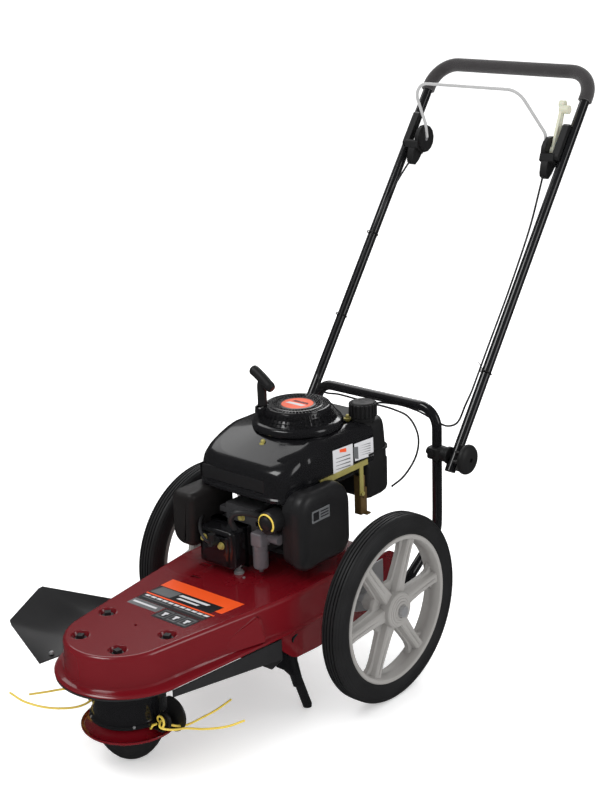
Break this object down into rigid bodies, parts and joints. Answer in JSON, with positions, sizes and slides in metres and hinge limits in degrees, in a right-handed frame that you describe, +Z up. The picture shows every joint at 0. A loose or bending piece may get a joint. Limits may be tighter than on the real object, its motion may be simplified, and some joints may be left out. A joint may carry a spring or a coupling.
{
  "type": "walk-behind brush mower",
  "caption": "Walk-behind petrol brush mower: a nylon-line head under a long pressed deck, belt-driven by a vertical-shaft engine, on tall spoked wheels with a folding handle and bail.",
  "frame": {"origin": "on the ground under the middle of the bounding box", "axes": "+Z up, -Y towards the trimmer head, +Y towards the operator, +X on the side of the throttle lever and the air filter"},
  "size_m": [0.602, 1.5096, 1.221],
  "materials": {
    "deck_red": "gloss paint over pressed steel",
    "black_steel": "gloss black paint",
    "black_plastic": "satin moulded plastic",
    "black_rubber": "satin",
    "foam": "closed-cell foam",
    "tyre_rubber": "satin",
    "rim_plastic": "light grey moulded plastic",
    "bail_grey": "light grey coated rod",
    "ivory_plastic": "ivory moulded plastic",
    "line_nylon": "translucent orange-yellow nylon",
    "rope": "braided cord",
    "steel": "bright steel",
    "zinc": "yellow zinc plate",
    "grey_steel": "grey paint",
    "cast_iron": "machined",
    "cast_aluminium": "as cast"
  },
  "bodies": {
    "chassis": {"deck": "deck_red", "deflector_flap": "black_rubber", "debris_skirt": "black_rubber", "stand_foot_left": "black_steel", "stand_foot_right": "black_steel", "spindle_housing": "black_steel", "drive_belt": "black_rubber", "idler_spring": "steel", "axle": "steel", "axle_bracket_left": "grey_steel", "axle_bracket_right": "grey_steel", "engine_block": "cast_aluminium", "valve_cover": "black_steel", "engine_shroud": "black_steel", "recoil_cover": "black_steel", "starter_rope": "rope", "fuel_tank": "black_plastic", "air_filter_cover": "black_plastic", "air_filter_base": "black_plastic", "carburettor": "cast_aluminium", "breather_hose": "black_rubber", "muffler": "black_steel", "spark_plug": "black_rubber", "control_plate": "zinc", "lower_hoop": "black_steel", "pivot_clamp_left": "black_plastic", "pivot_clamp_right": "black_plastic", "throttle_cable_lower": "black_rubber", "brake_cable_lower": "black_rubber"},
    "wheel_left": {"tyre_left": "tyre_rubber", "rim_left": "rim_plastic"},
    "wheel_right": {"tyre_right": "tyre_rubber", "rim_right": "rim_plastic"},
    "trimmer_head": {"spindle_shaft": "steel", "spindle_pulley": "cast_iron", "trimmer_dish": "deck_red", "glide_bowl": "black_plastic", "line_hook_plate": "black_plastic", "trimmer_line_left": "line_nylon", "trimmer_line_right": "line_nylon"},
    "crank": {"crankshaft": "steel", "crank_pulley": "cast_iron", "flywheel_fan": "cast_aluminium"},
    "idler_lever": {"idler_arm": "zinc"},
    "idler_wheel": {"idler_pulley": "cast_iron"},
    "starter_handle": {"starter_grip": "black_plastic"},
    "tank_cap": {"fuel_cap": "black_plastic"},
    "oil_dipstick": {"dipstick": "black_plastic"},
    "primer": {"primer_bulb": "black_rubber"},
    "governor": {"governor_arm": "zinc"},
    "handle": {"upper_handle": "black_steel", "foam_grip": "foam", "control_housing_left": "black_plastic", "control_housing_right": "black_plastic", "throttle_cable_upper": "black_rubber", "brake_cable_upper": "black_rubber"},
    "knob_left": {"fold_knob_left": "black_plastic"},
    "knob_right": {"fold_knob_right": "black_plastic"},
    "bail_bar": {"bail": "bail_grey"},
    "throttle": {"throttle_lever": "ivory_plastic"}
  },
  "joints": [
    {"name": "wheel_left_spin", "type": "hinge", "parent": "chassis", "child": "wheel_left", "pos_m": [0.261, -0.11077, 0.2032], "axis": [1, 0, 0], "continuous": true},
    {"name": "wheel_right_spin", "type": "hinge", "parent": "chassis", "child": "wheel_right", "pos_m": [-0.261, -0.11077, 0.2032], "axis": [1, 0, 0], "continuous": true},
    {"name": "head_spin", "type": "hinge", "parent": "chassis", "child": "trimmer_head", "pos_m": [0, -0.61577, 0.15], "axis": [0, 0, 1], "continuous": true},
    {"name": "crank_spin", "type": "hinge", "parent": "chassis", "child": "crank", "pos_m": [0, -0.08177, 0.36], "axis": [0, 0, 1], "continuous": true},
    {"name": "idler_swing", "type": "hinge", "parent": "chassis", "child": "idler_lever", "pos_m": [0.118, -0.20677, 0.251], "axis": [0, 0, 1], "range_deg": [-5, 0], "stiffness_Nm_per_rad": 1.5, "springref_deg": 11.46, "deforming": ["idler_spring"]},
    {"name": "idler_spin", "type": "hinge", "parent": "idler_lever", "child": "idler_wheel", "pos_m": [0.08, -0.30077, 0.236], "axis": [0, 0, 1], "continuous": true},
    {"name": "starter_pull", "type": "slide", "parent": "chassis", "child": "starter_handle", "axis": [0, 0, 1], "range_m": [0, 0.35], "stiffness_N_per_m": 20, "springref_m": -0.4, "deforming": ["starter_rope"]},
    {"name": "tank_cap_turn", "type": "hinge", "parent": "chassis", "child": "tank_cap", "pos_m": [0.088, 0.03023, 0.565], "axis": [0, 0, 1], "range_deg": [0, 120]},
    {"name": "dipstick_turn", "type": "hinge", "parent": "chassis", "child": "oil_dipstick", "pos_m": [-0.092, -0.05077, 0.405], "axis": [0, 0, 1], "range_deg": [0, 90]},
    {"name": "primer_press", "type": "slide", "parent": "chassis", "child": "primer", "axis": [0, 1, 0], "range_m": [0, 0.004], "stiffness_N_per_m": 800, "springref_m": -0.002},
    {"name": "governor_swing", "type": "hinge", "parent": "chassis", "child": "governor", "pos_m": [0.12075, -0.02077, 0.396], "axis": [1, 0, 0], "range_deg": [-6, 4]},
    {"name": "handle_fold", "type": "hinge", "parent": "chassis", "child": "handle", "pos_m": [0, 0.18577, 0.438], "axis": [1, 0, 0], "range_deg": [-10, 105], "deforming": ["throttle_cable_lower", "brake_cable_lower"]},
    {"name": "knob_left_turn", "type": "hinge", "parent": "handle", "child": "knob_left", "pos_m": [0.236, 0.18577, 0.438], "axis": [1, 0, 0], "continuous": true},
    {"name": "knob_right_turn", "type": "hinge", "parent": "handle", "child": "knob_right", "pos_m": [-0.236, 0.18577, 0.438], "axis": [1, 0, 0], "continuous": true},
    {"name": "bail_squeeze", "type": "hinge", "parent": "handle", "child": "bail_bar", "pos_m": [0, 0.62113, 1.041], "axis": [1, 0, 0], "range_deg": [-45.5, 0], "stiffness_Nm_per_rad": 0.5, "springref_deg": 45.84},
    {"name": "throttle_swing", "type": "hinge", "parent": "handle", "child": "throttle", "pos_m": [0.1877, 0.62113, 1.041], "axis": [1, 0, 0], "range_deg": [0, 70]}
  ],
  "couplings": [
    {"joint": "crank_spin", "follows": "head_spin", "ratio": 1.7595}
  ]
}
